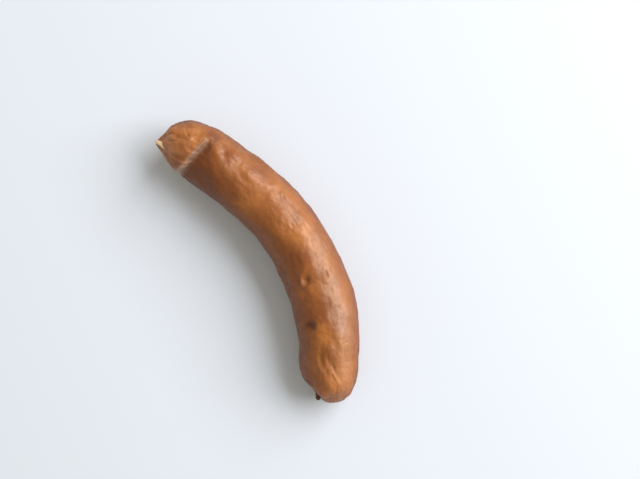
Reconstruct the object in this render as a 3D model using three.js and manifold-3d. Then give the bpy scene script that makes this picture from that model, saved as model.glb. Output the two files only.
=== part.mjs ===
// Grilled sausage link: seasoned meat in a natural casing, cooked brown and bent like a bow.
// It is one solid: the casing clings to the meat, and its twisted ends are part of it.
//
// Millimetres, +Z up, lying on a flat spot at z = 0. +X runs along the chord from the creased end to the
// knotted end, +Y points to the outside of the bend, and the origin is under the middle of the bounding box.

import * as THREE from "three";
import { mergeVertices } from "three/addons/utils/BufferGeometryUtils.js";
import Module from "manifold-3d";

const degrees = THREE.MathUtils.degToRad;
const { smoothstep } = THREE.MathUtils;
const UP = new THREE.Vector3(0, 0, 1);

// Length and bend of the middle line, measured from the tip of the creased end
const LENGTH = 186.5;
const STRAIGHT_START = 49; // the creased end is straight for this long
const BEND_END = 159.5; // past here the knotted end is straight again
const BEND_RADIUS = 119;
const START_HEADING = degrees(21.6); // puts the chord between the two tails on +X

// Girth
const BELLY_AT = 138; // the thickest place
const BELLY_RADIUS = 17.4;
const CREASED_RADIUS = 16.5; // where the dome of the creased end begins
const KNOTTED_RADIUS = 14.7; // where the dome of the knotted end begins
const GIRTH_CURVE = 1.5; // exponent by which it thins from the belly to a dome
const CREASED_DOME = 22.7; // length of each dome
const KNOTTED_DOME = 15.5;
const CREASED_FULLNESS = 2.2; // exponent of a dome: 2 is an ellipse, and more is blunter
const KNOTTED_FULLNESS = 3.1;

// The flat spot that it rests on
const REST_SINK = 0.8; // how far the weight presses the belly flat

// Uneven filling: a few long waves that run round the casing, and one bulge beside the knot
const LUMP_WAVES = 6;
const LUMP_HEIGHT = 0.15;
const LUMP_LENGTH = 78; // of the longest wave
const GOLDEN_ANGLE = 2.39996;
const BULGE = { at: 164, angle: degrees(186), height: 1.9, reach: 9, spread: degrees(38) };

// The crease: the end is bent up here, and the casing has folded in on the inside of the bend
const CREASE_AT = 20.8;
const CREASE_SKEW = degrees(6.5); // from square across
const CREASE_SKEW_REACH = 30; // how far along the casing follows the skew
const CREASE_DEPTH = 3.4;
const CREASE_WALL = 3.8; // the steep wall on the end's side
const CREASE_RAMP = 44; // the long slope on the body's side, where it is longest
const CREASE_RAMP_HOLLOW = [1.4, 2.8]; // exponent at each end of the crease: 1 is straight, more is hollow
const CREASE_LIP = { height: 0.3, back: 4.4, width: 2.8 }; // the end's edge stands proud
const CREASE_FROM = degrees(53); // round the casing, from the outside of the bend over the top
const CREASE_TO = degrees(187);
const END_RAISE = degrees(13); // how far the end is bent up
const END_RAISE_BLEND = 2.4; // length over which it bends

// Each end of the casing was twisted shut: one is drawn out to a point and the other drawn in to a dimple,
// both with pleats, and each has a tail of dried casing. A place on a dome is given by the angle off the
// middle line, towards the inside of the bend, and by the lift above it.
const CREASED_TWIST = {
  off: degrees(22),
  lift: degrees(4),
  drawnOut: 4.2,
  spread: 4.4,
  rim: 0,
  pleats: 8,
  pleatDepth: 0.2,
};
const KNOTTED_TWIST = {
  off: degrees(45),
  lift: 0,
  drawnOut: -3.5, // drawn in
  spread: 8,
  rim: 0.5, // height of the ring round it
  pleats: 7,
  pleatDepth: 0.25,
};
const CREASED_TAIL = {
  off: degrees(27.5),
  lift: degrees(17),
  length: 11.4,
  root: 2,
  tip: 0.7,
  flat: 0.6, // thickness as a share of the width
  sunk: 3.2, // how much of its length is inside the meat
};
const KNOTTED_TAIL = {
  off: degrees(27),
  lift: 0,
  length: 4.4,
  root: 1.3,
  tip: 1.1,
  flat: 0.85,
  sunk: 4.3,
};
const PLEAT_RING = 1.1; // the pleats are deepest this many spreads from the middle of the twist
const PLEAT_RING_WIDTH = 0.6;
const PLEAT_SWAY = 1.1; // how far the pleats crowd together on two sides
const TAIL_ROUND = 0.22; // share of a tail that is rounded off at its tip

// Facets
const FACETS_AROUND = 52;
const ROWS = 74;
const CREASE_ROWS = 5; // extra rows close together at the crease
const TAIL_FACETS = 10;
const TAIL_ROWS = 5;
const PROFILE_STEPS = 1000; // steps by which the profile's length is measured
const MERGE_DISTANCE = 1e-4;

const CASING_COLOUR = 0xa8683c;

// The middle line in plan: straight, an arc that turns towards -Y, then straight again
function middleLine(s) {
  const arc = (THREE.MathUtils.clamp(s, STRAIGHT_START, BEND_END) - STRAIGHT_START) / BEND_RADIUS;
  const heading = START_HEADING - arc;
  const before = Math.min(s, STRAIGHT_START);
  const after = Math.max(s - BEND_END, 0);
  return {
    heading,
    x:
      before * Math.cos(START_HEADING) +
      BEND_RADIUS * (Math.sin(START_HEADING) - Math.sin(heading)) +
      after * Math.cos(heading),
    y:
      before * Math.sin(START_HEADING) +
      BEND_RADIUS * (Math.cos(heading) - Math.cos(START_HEADING)) +
      after * Math.sin(heading),
  };
}

// A point on the middle line with its directions: forward along it, out of the bend, and up.
// The line keeps the underside on the floor, and before the crease it climbs towards the tip by END_RAISE.
function station(s) {
  const { heading, x, y } = middleLine(s);
  const past = Math.exp((CREASE_AT - s) / END_RAISE_BLEND);
  const pitch = (END_RAISE * past) / (1 + past);
  const rise = Math.tan(END_RAISE) * END_RAISE_BLEND * Math.log1p(past);
  const level = new THREE.Vector3(Math.cos(heading), Math.sin(heading), 0);
  return {
    point: new THREE.Vector3(x, y, girth(s) - REST_SINK + rise),
    forward: level.clone().multiplyScalar(Math.cos(pitch)).addScaledVector(UP, -Math.sin(pitch)),
    out: new THREE.Vector3(-Math.sin(heading), Math.cos(heading), 0),
    up: UP.clone().multiplyScalar(Math.cos(pitch)).addScaledVector(level, Math.sin(pitch)),
  };
}

// Radius without the domes: it thins from the belly both ways
function girth(s) {
  const towardsStart = s < BELLY_AT;
  const end = towardsStart ? CREASED_DOME : LENGTH - KNOTTED_DOME;
  const drop = BELLY_RADIUS - (towardsStart ? CREASED_RADIUS : KNOTTED_RADIUS);
  return BELLY_RADIUS - drop * ((s - BELLY_AT) / (end - BELLY_AT)) ** GIRTH_CURVE;
}

// How far a dome has closed: 1 where it begins and 0 at its tip
function domeShare(s) {
  const creased = Math.max(1 - s / CREASED_DOME, 0);
  const knotted = Math.max(1 - (LENGTH - s) / KNOTTED_DOME, 0);
  return Math.sqrt((1 - creased ** CREASED_FULLNESS) * (1 - knotted ** KNOTTED_FULLNESS));
}

// Radius against length, as a plane curve that can be sampled at an even spacing
class CasingProfile extends THREE.Curve {
  getPoint(t) {
    const s = (LENGTH * (1 - Math.cos(Math.PI * t))) / 2;
    return new THREE.Vector2(girth(s) * domeShare(s), s);
  }
}

// Rows of the profile: evenly spaced, and closer where the crease needs them
function profileRows() {
  const profile = new CasingProfile();
  profile.arcLengthDivisions = PROFILE_STEPS;
  const rows = profile.getSpacedPoints(ROWS);
  for (let i = 0; i < CREASE_ROWS; i++) {
    const s = CREASE_AT - CREASE_WALL + (i * 2 * CREASE_WALL) / (CREASE_ROWS - 1);
    rows.push(new THREE.Vector2(girth(s) * domeShare(s), s));
  }
  rows.sort((a, b) => a.y - b.y);
  rows[0].x = 0;
  rows[rows.length - 1].x = 0;
  return rows;
}

// Uneven filling: waves of falling length and height, wound round the casing to the left and right in turn,
// and one bulge
function lumps(s, angle) {
  const along = (s - BULGE.at) / BULGE.reach;
  const around = (angle - BULGE.angle) / BULGE.spread;
  let height = BULGE.height * Math.exp(-(along ** 2) - around ** 2);
  for (let k = 1; k <= LUMP_WAVES; k++) {
    const turns = (k % 2 ? 1 : -1) * (1 + (k % 3));
    const phase = (2 * Math.PI * k * s) / LUMP_LENGTH + turns * angle + k * GOLDEN_ANGLE;
    height += (LUMP_HEIGHT / Math.sqrt(k)) * Math.cos(phase);
  }
  return height;
}

// Depth of the crease, a distance past its line: a raised lip, a steep wall, then a long slope
function crease(past, angle) {
  const across = (angle - CREASE_FROM) / (CREASE_TO - CREASE_FROM);
  if (across <= 0 || across >= 1) return 0;
  const wall = smoothstep(past, -CREASE_WALL, 0);
  const hollow = THREE.MathUtils.lerp(...CREASE_RAMP_HOLLOW, across);
  const slope = Math.max(1 - past / (CREASE_RAMP * across), 0) ** hollow;
  const lip = Math.exp(-(((past + CREASE_LIP.back) / CREASE_LIP.width) ** 2));
  return Math.sin(Math.PI * across) * (CREASE_DEPTH * (past < 0 ? wall : slope) - CREASE_LIP.height * lip);
}

// A point of the casing: s along it, and an angle round it from the outside of the bend over the top
function casingPoint(s, angle, radius) {
  const nearCrease = Math.exp(-(((s - CREASE_AT) / CREASE_SKEW_REACH) ** 2));
  const skew = Math.tan(CREASE_SKEW) * Math.cos(angle) * radius * nearCrease;
  const openness = radius / girth(s);
  const swell = (lumps(s, angle) - crease(s - CREASE_AT, angle)) * openness;
  const { point, out, up } = station(s + skew);
  return point
    .addScaledVector(out, (radius + swell) * Math.cos(angle))
    .addScaledVector(up, (radius + swell) * Math.sin(angle));
}

// The frame of a place on a dome: its middle, and the way out of it
function domePlace(atKnottedEnd, { off, lift }) {
  const dome = atKnottedEnd ? KNOTTED_DOME : CREASED_DOME;
  const radius = atKnottedEnd ? KNOTTED_RADIUS : CREASED_RADIUS;
  const { point, forward, out, up } = station(atKnottedEnd ? LENGTH - dome : dome);
  const outward = forward.multiplyScalar(atKnottedEnd ? 1 : -1);
  const along = Math.cos(lift) * Math.cos(off);
  const inward = Math.cos(lift) * Math.sin(off);
  const above = Math.sin(lift);
  const reach = 1 / Math.hypot(along / dome, inward / radius, above / radius);
  const direction = outward
    .clone()
    .multiplyScalar(along)
    .addScaledVector(out, -inward)
    .addScaledVector(up, above);
  return { centre: point.addScaledVector(direction, reach), direction, outward };
}

// Draws the casing out or in round a twisted end, within a raised rim whose pleats fan out from it
function twist(position, place, { drawnOut, spread, rim, pleats, pleatDepth }) {
  const from = position.clone().sub(place.centre);
  const away = from.length() / spread;
  const bow = Math.exp(-away * away);
  const around = Math.atan2(from.z, from.dot(new THREE.Vector3().crossVectors(place.direction, UP)));
  const ring = Math.exp(-(((away - PLEAT_RING) / PLEAT_RING_WIDTH) ** 2));
  const fan = Math.cos(pleats * around + PLEAT_SWAY * Math.sin(2 * around));
  return position.addScaledVector(place.direction, drawnOut * bow + ring * (rim + pleatDepth * fan));
}

// The casing: a lathed profile bent along the middle line, creased, twisted shut at both ends and flat below
function casingGeometry() {
  const geometry = new THREE.LatheGeometry(profileRows(), FACETS_AROUND);
  const positions = geometry.attributes.position;
  const creasedPlace = domePlace(false, CREASED_TWIST);
  const knottedPlace = domePlace(true, KNOTTED_TWIST);
  const turned = new THREE.Vector3();
  for (let i = 0; i < positions.count; i++) {
    turned.fromBufferAttribute(positions, i);
    const angle = THREE.MathUtils.euclideanModulo(Math.atan2(turned.x, turned.z), 2 * Math.PI);
    const point = casingPoint(turned.y, angle, Math.hypot(turned.x, turned.z));
    twist(point, creasedPlace, CREASED_TWIST);
    twist(point, knottedPlace, KNOTTED_TWIST);
    positions.setXYZ(i, point.x, point.y, Math.max(point.z, 0));
  }
  return geometry;
}

// A tail of twisted casing: a blunt flattened cone that starts inside the meat
function tailGeometry(atKnottedEnd, sizes) {
  const { length, root, tip, flat, sunk } = sizes;
  const outline = [new THREE.Vector2(0, -sunk)];
  for (let i = 0; i <= TAIL_ROWS; i++) {
    const along = i / TAIL_ROWS;
    const rounded = Math.sqrt(1 - Math.max(1 - (1 - along) / TAIL_ROUND, 0) ** 2);
    const radius = THREE.MathUtils.lerp(root, tip, along) * rounded;
    outline.push(new THREE.Vector2(radius, along * length - sunk));
  }
  outline[outline.length - 1].x = 0;
  const place = domePlace(atKnottedEnd, sizes);
  const side = new THREE.Vector3().crossVectors(place.outward, UP).normalize();
  const stand = new THREE.Matrix4().makeBasis(
    side,
    place.outward,
    new THREE.Vector3().crossVectors(side, place.outward).multiplyScalar(flat),
  );
  stand.setPosition(place.centre);
  return new THREE.LatheGeometry(outline, TAIL_FACETS).applyMatrix4(stand);
}

// A closed geometry as a solid, with its shared vertices merged and the empty triangles at its poles dropped
function solidOf(wasm, geometry) {
  geometry.deleteAttribute("normal");
  geometry.deleteAttribute("uv");
  const merged = mergeVertices(geometry, MERGE_DISTANCE);
  const kept = [];
  for (let i = 0; i < merged.index.count; i += 3) {
    const [a, b, c] = merged.index.array.slice(i, i + 3);
    if (a !== b && b !== c && c !== a) kept.push(a, b, c);
  }
  const vertProperties = merged.attributes.position.array;
  return new wasm.Manifold(new wasm.Mesh({ numProp: 3, vertProperties, triVerts: new Uint32Array(kept) }));
}

function geometryOf(solid) {
  const { vertProperties, triVerts } = solid.getMesh();
  const geometry = new THREE.BufferGeometry();
  geometry.setAttribute("position", new THREE.BufferAttribute(vertProperties, 3));
  geometry.setIndex(new THREE.BufferAttribute(triVerts, 1));
  return geometry;
}

const wasm = await Module();
wasm.setup();

const link = solidOf(wasm, casingGeometry())
  .add(solidOf(wasm, tailGeometry(false, CREASED_TAIL)))
  .add(solidOf(wasm, tailGeometry(true, KNOTTED_TAIL)));
const geometry = geometryOf(link);
geometry.computeBoundingBox();
const { min, max } = geometry.boundingBox;

const casing = new THREE.MeshStandardMaterial({ color: CASING_COLOUR, roughness: 0.42, metalness: 0 });
const sausageLink = new THREE.Mesh(geometry, casing);
sausageLink.name = "sausage_link";
sausageLink.position.set(-(min.x + max.x) / 2, -(min.y + max.y) / 2, -min.z);

const part = new THREE.Group();
part.add(sausageLink);

export default part;
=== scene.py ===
"""A grilled sausage link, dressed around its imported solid.

The casing's skin, its pale tail and its dark knot stand in for the solid. Sizes are in millimetres and are
turned to metres where a mesh is made. The form's sizes are the solid's own.
"""

import math

import bpy
import numpy as np
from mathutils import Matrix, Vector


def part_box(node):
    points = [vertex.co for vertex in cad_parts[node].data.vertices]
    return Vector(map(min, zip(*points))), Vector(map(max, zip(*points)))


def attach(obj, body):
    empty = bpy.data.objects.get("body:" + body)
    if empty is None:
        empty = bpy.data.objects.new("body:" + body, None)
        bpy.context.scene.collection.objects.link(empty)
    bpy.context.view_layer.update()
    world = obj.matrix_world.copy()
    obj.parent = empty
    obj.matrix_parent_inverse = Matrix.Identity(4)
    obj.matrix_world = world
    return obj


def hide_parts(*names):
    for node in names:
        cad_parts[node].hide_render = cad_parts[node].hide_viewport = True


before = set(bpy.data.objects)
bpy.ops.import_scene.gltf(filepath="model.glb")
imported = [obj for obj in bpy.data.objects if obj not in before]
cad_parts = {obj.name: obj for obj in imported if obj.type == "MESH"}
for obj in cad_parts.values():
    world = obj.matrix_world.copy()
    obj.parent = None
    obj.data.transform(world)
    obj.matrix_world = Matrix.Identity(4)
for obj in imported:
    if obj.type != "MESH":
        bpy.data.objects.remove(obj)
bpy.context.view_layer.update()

MM = 0.001
NODE = "sausage_link"
TINY = 1e-6  # keeps a division away from zero

# Length and bend of the middle line, measured from the tip of the creased end
LENGTH = 186.5
STRAIGHT_START = 49
BEND_END = 159.5
BEND_RADIUS = 119
START_HEADING = math.radians(21.6)

# Girth
BELLY_AT = 138
BELLY_RADIUS = 17.4
CREASED_RADIUS = 16.5
KNOTTED_RADIUS = 14.7
GIRTH_CURVE = 1.5
CREASED_DOME = 22.7
KNOTTED_DOME = 15.5
CREASED_FULLNESS = 2.2
KNOTTED_FULLNESS = 3.1
REST_SINK = 0.8

# Uneven filling
LUMP_WAVES = 6
LUMP_HEIGHT = 0.15
LUMP_LENGTH = 78
GOLDEN_ANGLE = 2.39996
BULGE = {"at": 164, "angle": math.radians(186), "height": 1.9, "reach": 9, "spread": math.radians(38)}

# The crease and the raised end
CREASE_AT = 20.8
CREASE_SKEW = math.radians(6.5)
CREASE_SKEW_REACH = 30
CREASE_DEPTH = 3.4
CREASE_WALL = 3.8
CREASE_RAMP = 44
CREASE_RAMP_HOLLOW = (1.4, 2.8)
CREASE_LIP = {"height": 0.3, "back": 4.4, "width": 2.8}
CREASE_FROM = math.radians(53)
CREASE_TO = math.radians(187)
END_RAISE = math.radians(13)
END_RAISE_BLEND = 2.4

# The twisted ends
CREASED_TWIST = {
    "off": 22, "lift": 4, "drawn_out": 4.2, "spread": 4.4, "rim": 0, "pleats": 8, "pleat_depth": 0.2,
}
KNOTTED_TWIST = {
    "off": 45, "lift": 0, "drawn_out": -3.5, "spread": 8, "rim": 0.5, "pleats": 7, "pleat_depth": 0.25,
}
CREASED_TAIL = {"off": 27.5, "lift": 17, "length": 11.4, "root": 2, "tip": 0.7, "flat": 0.6, "sunk": 3.2}
KNOTTED_TAIL = {"off": 27, "lift": 0, "length": 4.4, "root": 1.3, "tip": 1.1, "flat": 0.85, "sunk": 4.3}
PLEAT_RING = 1.1
PLEAT_RING_WIDTH = 0.6
PLEAT_SWAY = 1.1
TAIL_ROUND = 0.22
TAIL_PLEATS = [(0.16, 3, 4), (0.07, 7, -5)]  # depth, number round, and turn along the tail

# Fineness of the grids: the skin's is about half a millimetre each way
ROWS = 430
AROUND = 216
PROFILE_STEPS = 20  # steps of the profile's line for each row
TAIL_ROWS = 40
TAIL_AROUND = 48

# Fine relief of the skin: size along, size across and height of each grain of the filling
FILLING_LUMPS = [(15, 12, 0.3), (6.5, 5.5, 0.42), (3.2, 2.6, 0.19), (1.6, 1.3, 0.065)]
FILLING_INSIDE = (0.6, 170, 48)  # lower on the inside of the bend: share, angle and spread

# Ridges that wander, strongest on the knotted end and weakest on the inside of the bend
WRINKLE_WARP = {"size": 6, "reach": 2.0, "seeds": (25, 26, 27)}
WRINKLES = {"size": (5.5, 2.2), "height": 0.2, "width": 0.32, "least": 0.5, "seed": 24}
WRINKLES_CREASED_END = {"share": 0.2, "reach": 22}
WRINKLES_KNOTTED_END = {"share": 1, "reach": 30}
WRINKLES_INSIDE = (0.75, 175, 50)

# Wrinkles that fan out from the pale tail, and streaks that gather towards the knot
FAN = {
    "turns": 4.6, "length": 8, "height": 0.58, "width": 0.42, "begins": (2, 7), "ends": (17, 28), "seed": 51,
}
PUCKERS = {
    "at": 168, "angle": 80, "reach": 13, "spread": 45,
    "size": (7.0, 2.0), "slant": -0.3, "height": 0.32, "width": 0.5, "seed": 31,
}

# Small marks: length along and angle round, tilt from the length, half length, half width, depth, and how
# much darker they are, a painted shade in the hollow. The last ones are ridges, whose depth is negative.
DENTS = [
    (115.2, 104, 10, 3.4, 2.2, 0.9, 0.5),
    (116.3, 67, 8, 2.5, 0.9, 0.8, 0.36),
    (140.2, 120, 0, 2.4, 1.8, 0.35, 0.16),
    (8.5, 73, 35, 1.9, 0.8, 0.6, 0.27),
    (4.6, 113, -60, 2.2, 0.9, 0.5, 0.23),
    (102.7, 48, 0, 2.8, 0.55, 0.45, 0.2),
    (106.5, 45, 40, 1.6, 0.5, 0.35, 0.16),
    (71.2, 56, 15, 1.5, 0.7, 0.3, 0.14),
    (85.5, 79, 0, 1.7, 0.9, 0.35, 0.16),
    (100, 66, 20, 1, 0.7, 0.3, 0.14),
    (131.8, 38, -25, 2.4, 0.5, 0.4, 0.18),
    (162, 50, 88, 5.5, 0.5, 0.22, 0.1),
    (152, 60, 75, 2.6, 0.5, 0.2, 0.09),
    (161, 107, -6, 4.6, 1.5, 0.6, 0.06),
    (161.3, 94, -12, 3.2, 1.3, 0.5, 0.06),
    (165, 85, -17, 3.6, 1.4, 0.5, 0.1),
    (23.2, 70, 85, 5.5, 2.8, 0.4, 0.6),
    (168.5, 66, -15, 3.6, 1.8, -0.4, 0),
    (114.8, 115, 8, 3.6, 1, -0.6, 0),
    (118.9, 106, 82, 2.4, 0.9, -0.5, 0),
    (31, 71, 39, 6.5, 2.4, -0.7, 0),
    (36.5, 52, 30, 5.5, 3.6, -0.5, 0),
    (47, 60, 35, 5.5, 3.2, -0.4, 0),
]
DENT_CORE = 0.8  # width of a mark's bell, as a share of its own size
DENT_RIM = {"height": 0.35, "at": 1.5, "width": 0.5}  # as shares of the depth and the size
SPECKS = {
    "count": 26, "size": (0.6, 1.1), "stretch": 1.6, "tilt": 60,
    "depth": (0.06, 0.18), "darker": 0.06, "seed": 5,
}

# Tints by the crease: a painted highlight on its wall, and painted shade in the fold behind it that reaches
# ahead over the lip at its outer end. Each pair runs from where a change begins to where it ends: millimetres
# past the crease's line, or shares of the way across it
LIP_HIGHLIGHT_BEGINS = (-CREASE_WALL - 1.6, -CREASE_WALL + 1.2)
LIP_HIGHLIGHT_ENDS = (-3.4, 3.4)
LIP_HIGHLIGHT_ACROSS = [(0, 0.3), (0.45, 0.95)]
FOLD_AHEAD = 4.6  # how far ahead of the line the fold is dark at the crease's outer end
FOLD_AHEAD_ACROSS = (0.3, 0.75)
FOLD_EDGE = (-0.3, 0.8)
FOLD_ENDS = (0.7, 1.4)  # shares of the slope's length
FOLD_ACROSS = (0, 0.12)
CREASE_END_FADE = (CREASE_TO - math.radians(8), CREASE_TO + math.radians(20))

# Strips of painted shade along both flanks: share, and angle and spread round the link in degrees
SHADED_OUTSIDE = (1, 0, 40)
SHADED_INSIDE = (0.85, 160, 38)
SHADED_INSIDE_BEGINS = (4, 30)  # where it fades in along the link

# Tinted patches: share, place and reach along, and angle and spread round the link in degrees
# Painted highlight: a pale strip beside the belly's top.
BELLY_HIGHLIGHT = (0.24, 142, 42, 60, 18)
# Painted highlight on the top, a little past the crease.
TOP_HIGHLIGHT = (0.5, 57, 9, 76, 16)
BROWNED_AND_SHADED_PATCHES = [
    # Painted shade: the outer end of the crease, the inner side of the knotted end, the outer side of the
    # creased end and the slope past the crease. The other rows are darker brown patches.
    (1, CREASE_AT, 8, 46, 24),  # outer end of the crease
    (1, 166, 8, 172, 24),  # inner side of the knotted end
    (1, 8, 8, 2, 24),  # outer side of the creased end
    (0.5, 11, 7, 100, 22),  # top of the creased end
    (0.95, 42, 17, 108, 32),  # slope past the crease
    (0.8, 92, 32, 120, 34),  # middle of the bend
    (0.75, 126, 16, 82, 20),  # top before the belly
    (0.7, 157, 8, 98, 22),  # top past the belly
    (0.6, 172, 8, 116, 24),  # top of the knotted end
]

# Golden ends, partly the casing's tone and partly painted highlight: place and reach along, the share all
# over, and the share more on the ridges
GOLDEN_CREASED_END = (8, 12, 0.05, 0.65)
GOLDEN_KNOTTED_END = (168, 14, 0.1, 0.5)

# The burnt spot: its size, how far its edge fades, and how ragged that is
BURN = {
    "at": 140.2, "angle": math.radians(120), "size": 3.9, "fade": 1.8,
    "ragged": 1, "rag_size": 2.5, "seed": 41,
}


def middle_line(s):
    """Plan of the middle line: straight, an arc that turns towards -Y, then straight again.

    Gives x, y and the heading.
    """
    heading = START_HEADING - (np.clip(s, STRAIGHT_START, BEND_END) - STRAIGHT_START) / BEND_RADIUS
    before = np.minimum(s, STRAIGHT_START)
    after = np.maximum(s - BEND_END, 0)
    x = before * np.cos(START_HEADING) + BEND_RADIUS * (np.sin(START_HEADING) - np.sin(heading))
    y = before * np.sin(START_HEADING) + BEND_RADIUS * (np.cos(heading) - np.cos(START_HEADING))
    return x + after * np.cos(heading), y + after * np.sin(heading), heading


def girth(s):
    """Radius without the domes: it thins from the belly both ways by a power of the distance."""
    before = s < BELLY_AT
    end = np.where(before, CREASED_DOME, LENGTH - KNOTTED_DOME)
    drop = BELLY_RADIUS - np.where(before, CREASED_RADIUS, KNOTTED_RADIUS)
    return BELLY_RADIUS - drop * ((s - BELLY_AT) / (end - BELLY_AT)) ** GIRTH_CURVE


def dome_share(s):
    """How far a dome has closed: 1 where it begins and 0 at its tip, along a superellipse."""
    creased = np.maximum(1 - s / CREASED_DOME, 0)
    knotted = np.maximum(1 - (LENGTH - s) / KNOTTED_DOME, 0)
    return np.sqrt((1 - creased**CREASED_FULLNESS) * (1 - knotted**KNOTTED_FULLNESS))


def station(s):
    """Points of the middle line with their directions: forward along it, out of the bend, and up.

    The line keeps the underside on the floor, and before the crease it climbs towards the tip by END_RAISE.
    """
    x, y, heading = middle_line(s)
    past = np.exp((CREASE_AT - s) / END_RAISE_BLEND)
    pitch = END_RAISE * past / (1 + past)
    rise = math.tan(END_RAISE) * END_RAISE_BLEND * np.log1p(past)
    zero = np.zeros_like(heading)
    level = np.stack([np.cos(heading), np.sin(heading), zero], -1)
    out = np.stack([-np.sin(heading), np.cos(heading), zero], -1)
    vertical = np.stack([zero, zero, zero + 1], -1)
    point = np.stack([x, y, girth(s) - REST_SINK + rise], -1)
    lean = pitch[..., None]
    forward = np.cos(lean) * level - np.sin(lean) * vertical
    up = np.cos(lean) * vertical + np.sin(lean) * level
    return point, forward, out, up


def smooth_step(x, low, high):
    """0 below low, 1 above high, and the cubic 3t^2 - 2t^3 between them."""
    t = np.clip((x - low) / (high - low), 0, 1)
    return t * t * (3 - 2 * t)


def bell(x, width):
    """A bell curve: 1 at zero, falling to 1/e at the width."""
    return np.exp(-((x / width) ** 2))


def round_from(angle, middle):
    """The signed angle from a middle, from minus half a turn to half a turn."""
    return (angle - middle + np.pi) % (2 * np.pi) - np.pi


def strip(angle, share, middle, spread):
    """A strip along the link: a bell round its middle angle, in degrees."""
    return share * bell(round_from(angle, math.radians(middle)), math.radians(spread))


def patch(s, angle, share, at, reach, middle, spread):
    """An oval patch: a strip that is also a bell along the link."""
    return strip(angle, share, middle, spread) * bell(s - at, reach)


def lumps(s, angle):
    """Uneven filling: waves of falling length and height, wound to the left and right in turn.

    One bulge is added to them.
    """
    k = np.arange(1, LUMP_WAVES + 1)
    turns = np.where(k % 2, 1, -1) * (1 + k % 3)
    phase = 2 * np.pi * k * s[..., None] / LUMP_LENGTH + turns * angle[..., None] + k * GOLDEN_ANGLE
    waves = (LUMP_HEIGHT / np.sqrt(k) * np.cos(phase)).sum(-1)
    bulge = bell(s - BULGE["at"], BULGE["reach"]) * bell(angle - BULGE["angle"], BULGE["spread"])
    return waves + BULGE["height"] * bulge


def across_crease(angle):
    """Where an angle lies across the crease: 0 at its outer end and 1 at its inner end."""
    return np.clip((angle - CREASE_FROM) / (CREASE_TO - CREASE_FROM), 0, 1)


def crease(past, angle):
    """Depth of the crease, a distance past its line: a raised lip, a steep wall, then a long slope."""
    across = across_crease(angle)
    wall = smooth_step(past, -CREASE_WALL, 0)
    hollow = CREASE_RAMP_HOLLOW[0] + (CREASE_RAMP_HOLLOW[1] - CREASE_RAMP_HOLLOW[0]) * across
    slope = np.maximum(1 - past / np.maximum(CREASE_RAMP * across, TINY), 0) ** hollow
    lip = CREASE_LIP["height"] * bell(past + CREASE_LIP["back"], CREASE_LIP["width"])
    return np.sin(np.pi * across) * (CREASE_DEPTH * np.where(past < 0, wall, slope) - lip)


def dome_place(at_knotted_end, sizes):
    """A place on a dome, by its angles off the middle line and above it: its middle and the ways out.

    The dome is taken as half an ellipsoid, so the reach is one over the length of the scaled direction.
    """
    dome = KNOTTED_DOME if at_knotted_end else CREASED_DOME
    radius = KNOTTED_RADIUS if at_knotted_end else CREASED_RADIUS
    point, forward, out, up = station(np.array(float(LENGTH - dome if at_knotted_end else dome)))
    outward = forward if at_knotted_end else -forward
    off, lift = math.radians(sizes["off"]), math.radians(sizes["lift"])
    parts = np.array([math.cos(lift) * math.cos(off), -math.cos(lift) * math.sin(off), math.sin(lift)])
    reach = 1 / np.linalg.norm(parts / (dome, radius, radius))
    direction = parts @ np.stack([outward, out, up])
    return point + reach * direction, direction, outward


def from_twist(points, at_knotted_end, sizes):
    """Each point's distance from the middle of a twisted end, its angle round it, and the way out there."""
    centre, direction, _ = dome_place(at_knotted_end, sizes)
    from_centre = points - centre
    around = np.arctan2(from_centre[..., 2], from_centre @ np.cross(direction, (0, 0, 1)))
    return np.linalg.norm(from_centre, axis=-1), around, direction


def twisted(points, at_knotted_end, sizes):
    """Draws the skin out or in round a twisted end by a bell.

    The bell lies within a raised rim, whose pleats fan out from it.
    """
    distance, around, direction = from_twist(points, at_knotted_end, sizes)
    away = distance / sizes["spread"]
    pleats = np.cos(sizes["pleats"] * around + PLEAT_SWAY * np.sin(2 * around))
    ring = bell(away - PLEAT_RING, PLEAT_RING_WIDTH) * (sizes["rim"] + sizes["pleat_depth"] * pleats)
    return points + (sizes["drawn_out"] * bell(away, 1) + ring)[..., None] * direction


def casing_form(s, angle):
    """The link's form: rings of the profile's radius round the middle line.

    They are lumpy, creased and twisted shut.
    """
    radius = girth(s) * dome_share(s)
    near = bell(s - CREASE_AT, CREASE_SKEW_REACH)
    skew = math.tan(CREASE_SKEW) * np.cos(angle) * radius * near
    swell = (lumps(s, angle) - crease(s - CREASE_AT, angle)) * dome_share(s)
    point, _, out, up = station(s + skew)
    arm = (radius + swell)[..., None]
    points = point + arm * (np.cos(angle)[..., None] * out + np.sin(angle)[..., None] * up)
    return twisted(twisted(points, False, CREASED_TWIST), True, KNOTTED_TWIST)


def even_rows(count):
    """Lengths s of rows that lie evenly along the profile's own line, without its two poles."""
    t = np.linspace(0, 1, PROFILE_STEPS * count)
    s = LENGTH * (1 - np.cos(np.pi * t)) / 2
    step = np.hypot(np.diff(s), np.diff(girth(s) * dome_share(s)))
    run = np.concatenate([[0], np.cumsum(step)])
    return np.interp(run[-1] * np.arange(1, count + 1) / (count + 1), run, s)


def grain(points, size, seed, lattice=32):
    """Smooth noise from -1 to 1: random values on a lattice of that size, blended by a quintic fade."""
    ways = points.shape[-1]
    values = np.random.default_rng(seed).uniform(-1, 1, (lattice,) * ways)
    place = points / np.asarray(size, float)
    cell = np.floor(place).astype(int)
    fade = place - cell
    fade = fade**3 * (fade * (6 * fade - 15) + 10)
    total = np.zeros(points.shape[:-1])
    for corner in np.ndindex(*(2,) * ways):
        weight = np.where(corner, fade, 1 - fade).prod(-1)
        total += weight * values[tuple(np.moveaxis((cell + corner) % lattice, -1, 0))]
    return total


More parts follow.
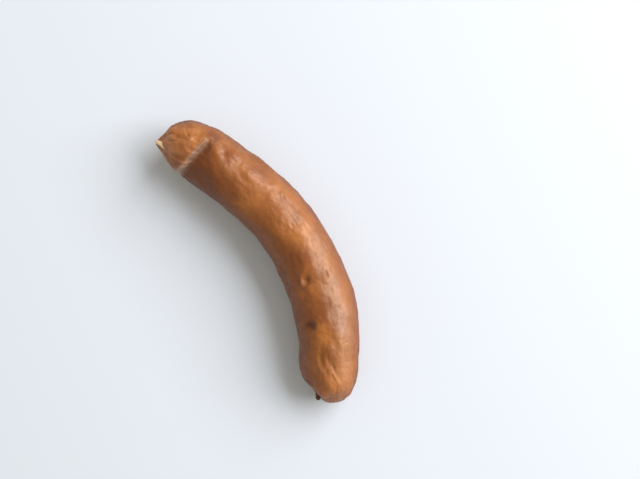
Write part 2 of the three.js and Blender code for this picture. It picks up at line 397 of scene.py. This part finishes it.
def outward_normals(points):
    """Unit normals of a grid that is closed round: the way round its rings crossed with the way along it."""
    along = np.gradient(points, axis=0)
    around = np.roll(points, -1, axis=1) - np.roll(points, 1, axis=1)
    normal = np.cross(around, along)
    return normal / np.linalg.norm(normal, axis=-1, keepdims=True)


def closed_mesh(name, rings, first_pole, last_pole, attributes=()):
    """A mesh of rings joined round and along, with a fan of triangles to a pole at each end.

    The points are in millimetres. Each attribute is a name with its values on the rings; a pole takes its
    nearest ring's mean.
    """
    rows, around = rings.shape[:2]
    corner = np.arange(rows * around).reshape(rows, around)
    beside = np.roll(corner, -1, axis=1)
    quads = np.stack([corner[:-1], beside[:-1], beside[1:], corner[1:]], -1).reshape(-1, 4)
    first = np.stack([np.full(around, rows * around), beside[0], corner[0]], -1)
    last = np.stack([np.full(around, rows * around + 1), corner[-1], beside[-1]], -1)
    mesh = bpy.data.meshes.new(name)
    points = np.concatenate([rings.reshape(-1, 3), [first_pole, last_pole]]) * MM
    mesh.from_pydata(points.tolist(), [], quads.tolist() + first.tolist() + last.tolist())
    mesh.polygons.foreach_set("use_smooth", np.ones(len(mesh.polygons), bool))
    for label, values in attributes:
        ends = np.stack([values[0].mean(0), values[-1].mean(0)])
        data = np.concatenate([values.reshape(rows * around, *values.shape[2:]), ends]).astype(np.float32)
        kind, field = ("FLOAT_VECTOR", "vector") if data.ndim == 2 else ("FLOAT", "value")
        mesh.attributes.new(label, kind, "POINT").data.foreach_set(field, data.ravel())
    mesh.update()
    piece = bpy.data.objects.new(name, mesh)
    bpy.context.scene.collection.objects.link(piece)
    return piece


def wrinkle_relief(s, angle, straight):
    """Low ridges along the zero lines of a grain that three more grains move about.

    They are strongest on the knotted end and weakest on the inside of the bend.
    """
    moves = [grain(straight, WRINKLE_WARP["size"], seed) for seed in WRINKLE_WARP["seeds"]]
    wandering = straight + WRINKLE_WARP["reach"] * np.stack(moves, -1)
    along, across = WRINKLES["size"]
    ridges = bell(grain(wandering, (along, across, across), WRINKLES["seed"]), WRINKLES["width"])
    creased_end = WRINKLES_CREASED_END["share"] * bell(s, WRINKLES_CREASED_END["reach"])
    knotted_end = WRINKLES_KNOTTED_END["share"] * bell(LENGTH - s, WRINKLES_KNOTTED_END["reach"])
    ends = np.minimum(creased_end + knotted_end, 1)
    strength = WRINKLES["least"] + (1 - WRINKLES["least"]) * ends
    return WRINKLES["height"] * strength * (1 - strip(angle, *WRINKLES_INSIDE)) * ridges


def fan_ridges(points):
    """Wrinkles that fan out from the creased end's twist.

    They are ridges of a grain on the way round the twist and the distance from it.
    """
    away, around, _ = from_twist(points, False, CREASED_TWIST)
    place = np.stack([FAN["turns"] * np.cos(around), FAN["turns"] * np.sin(around), away / FAN["length"]], -1)
    ridges = bell(grain(place, 1, FAN["seed"]), FAN["width"])
    return ridges * smooth_step(away, *FAN["begins"]) * (1 - smooth_step(away, *FAN["ends"]))


def pucker_ridges(s, angle):
    """Streaks where the casing gathers towards the knot.

    They are slanted ridges of a long grain within an oval patch.
    """
    along = s - PUCKERS["at"]
    around = round_from(angle, math.radians(PUCKERS["angle"]))
    place = np.stack([along, girth(s) * around - PUCKERS["slant"] * along], -1)
    ridges = bell(grain(place, PUCKERS["size"], PUCKERS["seed"]), PUCKERS["width"])
    return ridges * patch(s, angle, 1, PUCKERS["at"], PUCKERS["reach"], PUCKERS["angle"], PUCKERS["spread"])


def dents():
    """The small marks and a seeded scatter of smaller pits: rows as in DENTS."""
    draw = np.random.default_rng(SPECKS["seed"])
    size = draw.uniform(*SPECKS["size"], SPECKS["count"])
    specks = [
        draw.uniform(CREASED_DOME, LENGTH - KNOTTED_DOME, SPECKS["count"]),
        draw.uniform(0, 360, SPECKS["count"]),
        draw.uniform(-SPECKS["tilt"], SPECKS["tilt"], SPECKS["count"]),
        SPECKS["stretch"] * size,
        size,
        draw.uniform(*SPECKS["depth"], SPECKS["count"]),
        np.full(SPECKS["count"], SPECKS["darker"]),
    ]
    return np.concatenate([DENTS, np.stack(specks, -1)])


def dent_relief(s, angle):
    """Small marks, each an oval bell with a low rim on one side.

    Gives the height and how much darker they are, a painted shade in their hollows.
    """
    height = np.zeros_like(s)
    mask = np.zeros_like(s)
    for at, turn, tilt, long, wide, depth, darker in dents():
        lean = math.radians(tilt)
        along = s - at
        across = girth(s) * dome_share(s) * round_from(angle, math.radians(turn))
        length = (along * math.cos(lean) + across * math.sin(lean)) / long
        width = (across * math.cos(lean) - along * math.sin(lean)) / wide
        away = np.hypot(length, width)
        pit = bell(away, DENT_CORE)
        rim = bell(away - DENT_RIM["at"], DENT_RIM["width"]) * (1 + width / np.maximum(away, TINY)) / 2
        height += depth * (DENT_RIM["height"] * rim - pit)
        mask = np.maximum(mask, darker * pit)
    return height, mask


def above_crease_end(angle):
    """1 as far round as the crease goes, fading to 0 on the underside past its inner end."""
    return 1 - smooth_step(angle, *CREASE_END_FADE)


def painted_highlight(s, angle):
    """Where the casing is painted paler: a painted highlight on the crease's wall, and a painted highlight
    beside the belly's top.
    """
    past = s - CREASE_AT
    across = across_crease(angle)
    # Painted highlight on the crease's wall, paler towards its inner end.
    wall = smooth_step(past, *LIP_HIGHLIGHT_BEGINS) * (1 - smooth_step(past, *LIP_HIGHLIGHT_ENDS))
    share = np.mean([smooth_step(across, *step) for step in LIP_HIGHLIGHT_ACROSS], 0)
    return np.maximum(wall * share * above_crease_end(angle), patch(s, angle, *BELLY_HIGHLIGHT))


def painted_shade_and_browning(s, angle):
    """Where the casing is tinted darker brown: painted shade in the fold behind the crease and along both
    flanks, and patches, some painted shade and some darker brown.
    """
    past = s - CREASE_AT
    across = across_crease(angle)
    reach = np.maximum(CREASE_RAMP * across, TINY)
    # Painted shade in the fold behind the crease; at the crease's outer end it reaches ahead of the line over
    # the lip.
    start = -FOLD_AHEAD * (1 - smooth_step(across, *FOLD_AHEAD_ACROSS))
    fold = smooth_step(past - start, *FOLD_EDGE) * (1 - smooth_step(past / reach, *FOLD_ENDS))
    fold = fold * smooth_step(across, *FOLD_ACROSS) * above_crease_end(angle)
    # Painted shade along the inner and outer flanks.
    inside = smooth_step(s, *SHADED_INSIDE_BEGINS) * strip(angle, *SHADED_INSIDE)
    outside = strip(angle, *SHADED_OUTSIDE)
    # Patches, some of them painted shade and the others darker brown.
    patches = [patch(s, angle, *row) for row in BROWNED_AND_SHADED_PATCHES]
    return np.maximum.reduce([fold, inside, outside, *patches])


def golden_end_and_highlight(s, ridges, at, reach, plain, more):
    """How golden one end is: a bell along it, with more on its ridges; partly the casing's tone and partly
    painted highlight on the lit end and ridges.
    """
    return bell(s - at, reach) * (plain + more * ridges)


def golden_tone_and_highlight(s, angle, fan, puckers):
    """Where the casing is tinted golden: on each end, partly tone and partly painted highlight, and in one
    patch of painted highlight on the top.
    """
    creased_end = golden_end_and_highlight(s, fan, *GOLDEN_CREASED_END)
    knotted_end = golden_end_and_highlight(s, puckers, *GOLDEN_KNOTTED_END)
    return creased_end + knotted_end + patch(s, angle, *TOP_HIGHLIGHT)


def burnt_spot(s, angle, straight):
    """The one burnt spot: 1 at its middle, with a ragged edge."""
    across = girth(s) * round_from(angle, BURN["angle"])
    away = np.hypot(s - BURN["at"], across) + BURN["ragged"] * grain(straight, BURN["rag_size"], BURN["seed"])
    return 1 - smooth_step(away, 0, BURN["fade"] * BURN["size"])


def tail_rings(at_knotted_end, sizes):
    """A twist of dried casing: rings that narrow to a rounded tip, flattened, with pleats that wind along it.

    Gives the rings and the two poles.
    """
    centre, _, outward = dome_place(at_knotted_end, sizes)
    side = np.cross(outward, (0, 0, 1))
    side /= np.linalg.norm(side)
    along, angle = np.meshgrid(
        np.arange(TAIL_ROWS) / TAIL_ROWS, 2 * np.pi * np.arange(TAIL_AROUND) / TAIL_AROUND, indexing="ij"
    )
    reach = along * sizes["length"] - sizes["sunk"]
    rounded = np.sqrt(1 - np.maximum(1 - (1 - along) / TAIL_ROUND, 0) ** 2)
    radius = (sizes["root"] + (sizes["tip"] - sizes["root"]) * along) * rounded
    pleats = sum(deep * np.cos(count * angle + turn * along) for deep, count, turn in TAIL_PLEATS)
    radius = radius * (1 + pleats)
    upward = sizes["flat"] * np.cross(side, outward)
    rings = centre + reach[..., None] * outward + (radius * np.sin(angle))[..., None] * side
    rings = rings + (radius * np.cos(angle))[..., None] * upward
    return rings, centre + np.outer([-sizes["sunk"], sizes["length"] - sizes["sunk"]], outward)


def dressed_pieces():
    """The casing's skin, its tail and its knot, moved together so that the form fills the solid's box.

    The skin is the form on a fine grid, moved along its normals by the relief less its mean round each ring,
    and flat below.
    """
    s, angle = np.meshgrid(even_rows(ROWS), 2 * np.pi * np.arange(AROUND) / AROUND, indexing="ij")
    radius = girth(s) * dome_share(s)
    straight = np.stack([s, radius * np.cos(angle), radius * np.sin(angle)], -1)
    form = casing_form(s, angle)
    tail, tail_poles = tail_rings(False, CREASED_TAIL)
    knot, knot_poles = tail_rings(True, KNOTTED_TAIL)
    every = np.concatenate([rings.reshape(-1, 3) for rings in (form, tail, knot)])
    low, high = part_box(NODE)
    shift = np.array((low + high) / 2) / MM - (every.min(0) + every.max(0)) / 2
    shift[2] = 0
    dent_height, dent_shade = dent_relief(s, angle)
    fan = fan_ridges(form)
    puckers = pucker_ridges(s, angle)
    height = wrinkle_relief(s, angle, straight) + dent_height
    height += FAN["height"] * fan + PUCKERS["height"] * puckers
    outside = 1 - strip(angle, *FILLING_INSIDE)
    for seed, (along, across, tall) in enumerate(FILLING_LUMPS):
        height += tall * outside * grain(straight, (along, across, across), seed)
    height -= height.mean(1, keepdims=True)
    points = form + height[..., None] * outward_normals(form) + shift
    points[..., 2] = np.maximum(points[..., 2], 0)
    poles = casing_form(np.array([0.0, LENGTH]), np.zeros(2)) + shift
    attributes = [
        ("straight", straight * MM),
        ("pale", painted_highlight(s, angle)),
        ("golden", golden_tone_and_highlight(s, angle, fan, puckers)),
        ("browned", painted_shade_and_browning(s, angle)),
        ("burnt", burnt_spot(s, angle, straight)),
        ("pitted", dent_shade),
    ]
    return (
        closed_mesh("casing_skin", points, *poles, attributes),
        closed_mesh("casing_tail", tail + shift, *(tail_poles + shift)),
        closed_mesh("dried_knot", knot + shift, *(knot_poles + shift)),
    )


def linear(hex_colour):
    """An sRGB hex colour as linear red, green, blue and full alpha."""
    srgb = np.array([int(hex_colour[i : i + 2], 16) for i in (1, 3, 5)]) / 255
    return (*np.where(srgb <= 0.04045, srgb / 12.92, ((srgb + 0.055) / 1.055) ** 2.4), 1.0)


def per_metre(size):
    """The scale of a pattern whose features are that many millimetres across."""
    return 1 / (size * MM)


def node(tree, kind, inputs=None, **settings):
    """Adds a shader node: settings are its properties, inputs its sockets' values or what they link to."""
    made = tree.nodes.new(kind)
    for name, value in settings.items():
        setattr(made, name, value)
    for name, value in (inputs or {}).items():
        if isinstance(value, bpy.types.NodeSocket):
            tree.links.new(value, made.inputs[name])
        else:
            made.inputs[name].default_value = value
    return made


def new_material(name):
    """An empty material with its node tree and its principled shader."""
    material = bpy.data.materials.new(name)
    material.use_nodes = True
    return material, material.node_tree, material.node_tree.nodes["Principled BSDF"]


# Sizes of the finishes' patterns
BROWN_PATCH = 16
MOTTLE = 2.6
SHRIVEL = 1.5
SHRIVEL_HEIGHT = 0.18
TWIST_STREAK = 1.2
LIGHT_DEPTH = 2.5  # how far light goes into the meat


def grilled_casing():
    """Natural hog casing, grilled: a thin film over meat, brown from the grill and wet with fat.

    The eye sees golden and darker brown patches, a soft broken gloss, and fine wrinkles. Some of its golden
    and darker tints are painted highlight and painted shade.
    """
    material, tree, shader = new_material("grilled_hog_casing")
    straight = node(tree, "ShaderNodeAttribute", attribute_name="straight").outputs["Vector"]
    pale, golden, browned, burnt, pitted = (
        node(tree, "ShaderNodeAttribute", attribute_name=name).outputs["Fac"]
        for name in ("pale", "golden", "browned", "burnt", "pitted")
    )
    patches = node(
        tree, "ShaderNodeTexNoise", {"Vector": straight, "Scale": per_metre(BROWN_PATCH), "Detail": 5.0}
    ).outputs["Fac"]
    mottle = node(
        tree,
        "ShaderNodeTexNoise",
        {"Vector": straight, "Scale": per_metre(MOTTLE), "Detail": 4.0, "Distortion": 0.6},
    ).outputs["Fac"]
    patchy = node(
        tree, "ShaderNodeMapRange", {"Value": patches, "From Min": 0.32, "From Max": 0.68}
    ).outputs["Result"]
    colour = node(
        tree, "ShaderNodeMix", {0: patchy, 6: linear("#b07032"), 7: linear("#844a1e")}, data_type="RGBA"
    ).outputs[2]
    speckled = node(
        tree, "ShaderNodeMapRange", {"Value": mottle, "From Min": 0.45, "From Max": 0.75, "To Max": 0.35}
    ).outputs["Result"]
    # Tints over the base colour: golden, partly the casing's tone and partly painted highlight; darker
    # mottle; darker brown, partly browning and partly painted shade; painted shade in the marks; the pale
    # tint, a painted highlight; and the burnt spot.
    for share, tint in (
        (golden, "#bd8050"),
        (speckled, "#74390f"),
        (browned, "#6e390e"),
        (pitted, "#4f270c"),
        (pale, "#b09a8a"),
        (burnt, "#50260e"),
    ):
        mixed = {0: share, 6: colour, 7: linear(tint)}
        colour = node(tree, "ShaderNodeMix", mixed, data_type="RGBA").outputs[2]
    tree.links.new(colour, shader.inputs["Base Color"])
    gloss = node(
        tree,
        "ShaderNodeMapRange",
        {"Value": mottle, "From Min": 0.3, "From Max": 0.7, "To Min": 0.31, "To Max": 0.47},
    ).outputs["Result"]
    duller = node(tree, "ShaderNodeMath", {0: browned, 1: 0.12, 2: gloss}, operation="MULTIPLY_ADD")
    tree.links.new(duller.outputs["Value"], shader.inputs["Roughness"])
    shrivel = node(
        tree,
        "ShaderNodeTexNoise",
        {"Vector": straight, "Scale": per_metre(SHRIVEL), "Detail": 3.0, "Distortion": 0.8},
    ).outputs["Fac"]
    bump = node(
        tree, "ShaderNodeBump", {"Height": shrivel, "Strength": 1.0, "Distance": SHRIVEL_HEIGHT * MM}
    )
    tree.links.new(bump.outputs["Normal"], shader.inputs["Normal"])
    shader.inputs["IOR"].default_value = 1.45
    shader.inputs["Specular IOR Level"].default_value = 0.6
    shader.inputs["Subsurface Weight"].default_value = 0.12
    shader.inputs["Subsurface Radius"].default_value = (1.0, 0.4, 0.2)
    shader.inputs["Subsurface Scale"].default_value = LIGHT_DEPTH * MM
    return material


def dried_casing(name, light, dark, roughness):
    """Casing that stuck out of the meat and dried: a stiff parchment, streaked with darker brown."""
    material, tree, shader = new_material(name)
    place = node(tree, "ShaderNodeTexCoord").outputs["Object"]
    streaks = node(
        tree, "ShaderNodeTexNoise", {"Vector": place, "Scale": per_metre(TWIST_STREAK), "Detail": 3.0}
    ).outputs["Fac"]
    colour = node(
        tree, "ShaderNodeMix", {0: streaks, 6: linear(light), 7: linear(dark)}, data_type="RGBA"
    )
    tree.links.new(colour.outputs[2], shader.inputs["Base Color"])
    shader.inputs["Roughness"].default_value = roughness
    shader.inputs["IOR"].default_value = 1.5
    return material


finishes = (
    grilled_casing(),
    dried_casing("pale_dried_casing", "#d9c6aa", "#ab8e69", 0.5),
    dried_casing("burnt_dried_casing", "#6e452b", "#3c2011", 0.55),
)
for piece, finish in zip(dressed_pieces(), finishes):
    piece.data.materials.append(finish)
    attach(piece, "root")
    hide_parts(NODE)

# The camera looks straight down. In the picture the chord runs from the upper left to the lower right.
PICTURE_WIDTH = 640
MM_PER_PIXEL = 0.55
SILHOUETTE_HEIGHT = 17  # the scale holds at this height above the floor
LENS = 60
SENSOR = 36
CHORD_RIGHT = 0.5339  # the chord's way across and down the picture
CHORD_DOWN = 0.8456
PICTURE_TURN = math.degrees(math.atan2(CHORD_DOWN, CHORD_RIGHT))
PICTURE_MIDDLE = (6.96, 21.67)  # what the camera stands over
NEAREST = 10  # nothing nearer to the camera is drawn

camera_data = bpy.data.cameras.new("camera")
camera_data.lens = LENS
camera_data.sensor_width = SENSOR
camera_data.clip_start = NEAREST * MM
camera = bpy.data.objects.new("camera", camera_data)
camera_height = SILHOUETTE_HEIGHT + PICTURE_WIDTH * MM_PER_PIXEL * LENS / SENSOR
camera.location = [x * MM for x in (*PICTURE_MIDDLE, camera_height)]
camera.rotation_euler = (0, 0, math.radians(PICTURE_TURN))
bpy.context.scene.collection.objects.link(camera)
bpy.context.scene.camera = camera

FLOOR_WIDTH = 3000


def stage_floor():
    """A plain pale floor."""
    half = FLOOR_WIDTH / 2 * MM
    corners = [(-half, -half, 0), (half, -half, 0), (half, half, 0), (-half, half, 0)]
    mesh = bpy.data.meshes.new("floor")
    mesh.from_pydata(corners, [], [(0, 1, 2, 3)])
    floor = bpy.data.objects.new("floor", mesh)
    bpy.context.scene.collection.objects.link(floor)
    material, _, shader = new_material("matt_white_card")
    shader.inputs["Base Color"].default_value = linear("#cdd9ec")
    shader.inputs["Roughness"].default_value = 0.6
    mesh.materials.append(material)


def soft_light(name, azimuth, elevation, distance, size, watts, colour):
    """A wide soft light that faces the link, placed by its angles in the picture and above the floor."""
    data = bpy.data.lights.new(name, "AREA")
    data.shape = "RECTANGLE"
    data.size, data.size_y = size[0] * MM, size[1] * MM
    data.energy = watts
    data.color = linear(colour)[:3]
    light = bpy.data.objects.new(name, data)
    turn = math.radians(azimuth + PICTURE_TURN)
    lift = math.radians(elevation)
    light.location = [
        distance * MM * math.cos(lift) * math.cos(turn),
        distance * MM * math.cos(lift) * math.sin(turn),
        distance * MM * math.sin(lift),
    ]
    light.rotation_euler = (math.pi / 2 - lift, 0, turn + math.pi / 2)
    bpy.context.scene.collection.objects.link(light)


stage_floor()
soft_light(
    "window", azimuth=26, elevation=39, distance=2200, size=(2600, 1600), watts=87, colour="#fff8f0"
)

world = bpy.data.worlds.new("world")
world.use_nodes = True
sky = world.node_tree.nodes["Background"].inputs
sky["Color"].default_value = linear("#fff3dc")
sky["Strength"].default_value = 0.52
bpy.context.scene.world = world
bpy.context.scene.view_settings.view_transform = "Standard"
